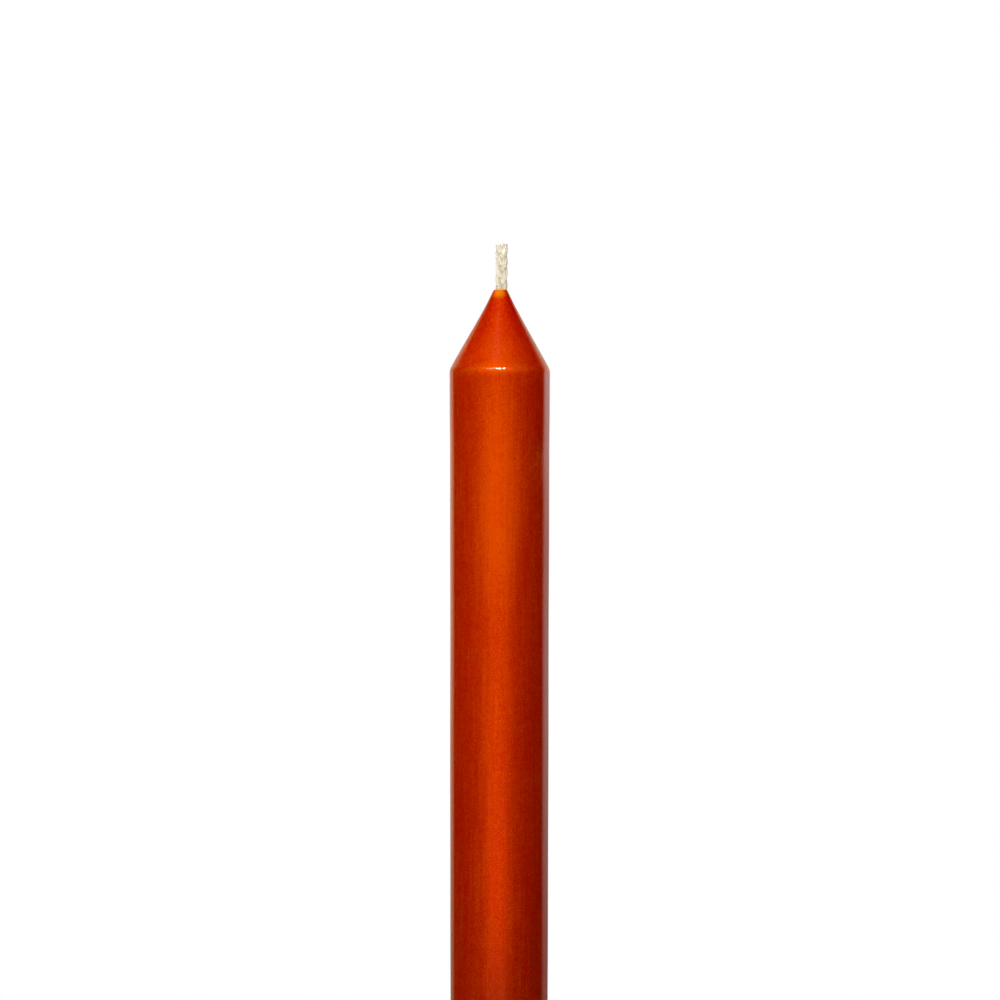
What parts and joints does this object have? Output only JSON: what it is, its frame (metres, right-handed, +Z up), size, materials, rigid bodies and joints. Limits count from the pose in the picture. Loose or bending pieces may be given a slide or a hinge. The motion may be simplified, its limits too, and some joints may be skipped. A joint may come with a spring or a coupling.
{
  "type": "taper candle",
  "caption": "Straight round dinner candle in orange wax with a cone-shaped top and a short plaited cotton wick.",
  "frame": {"origin": "centre of the candle's flat foot, on the surface that it stands on", "axes": "+Z up along the candle's axis to the wick; -Y is the side that faces the viewer"},
  "size_m": [0.022, 0.022, 0.26],
  "materials": {
    "wax": "burnt orange wax, satin with a thin gloss, slightly translucent",
    "cotton_wick": "cream cotton yarn, matte, plaited"
  },
  "bodies": {
    "root": {"wax_body": "wax", "wick": "cotton_wick"}
  },
  "joints": []
}
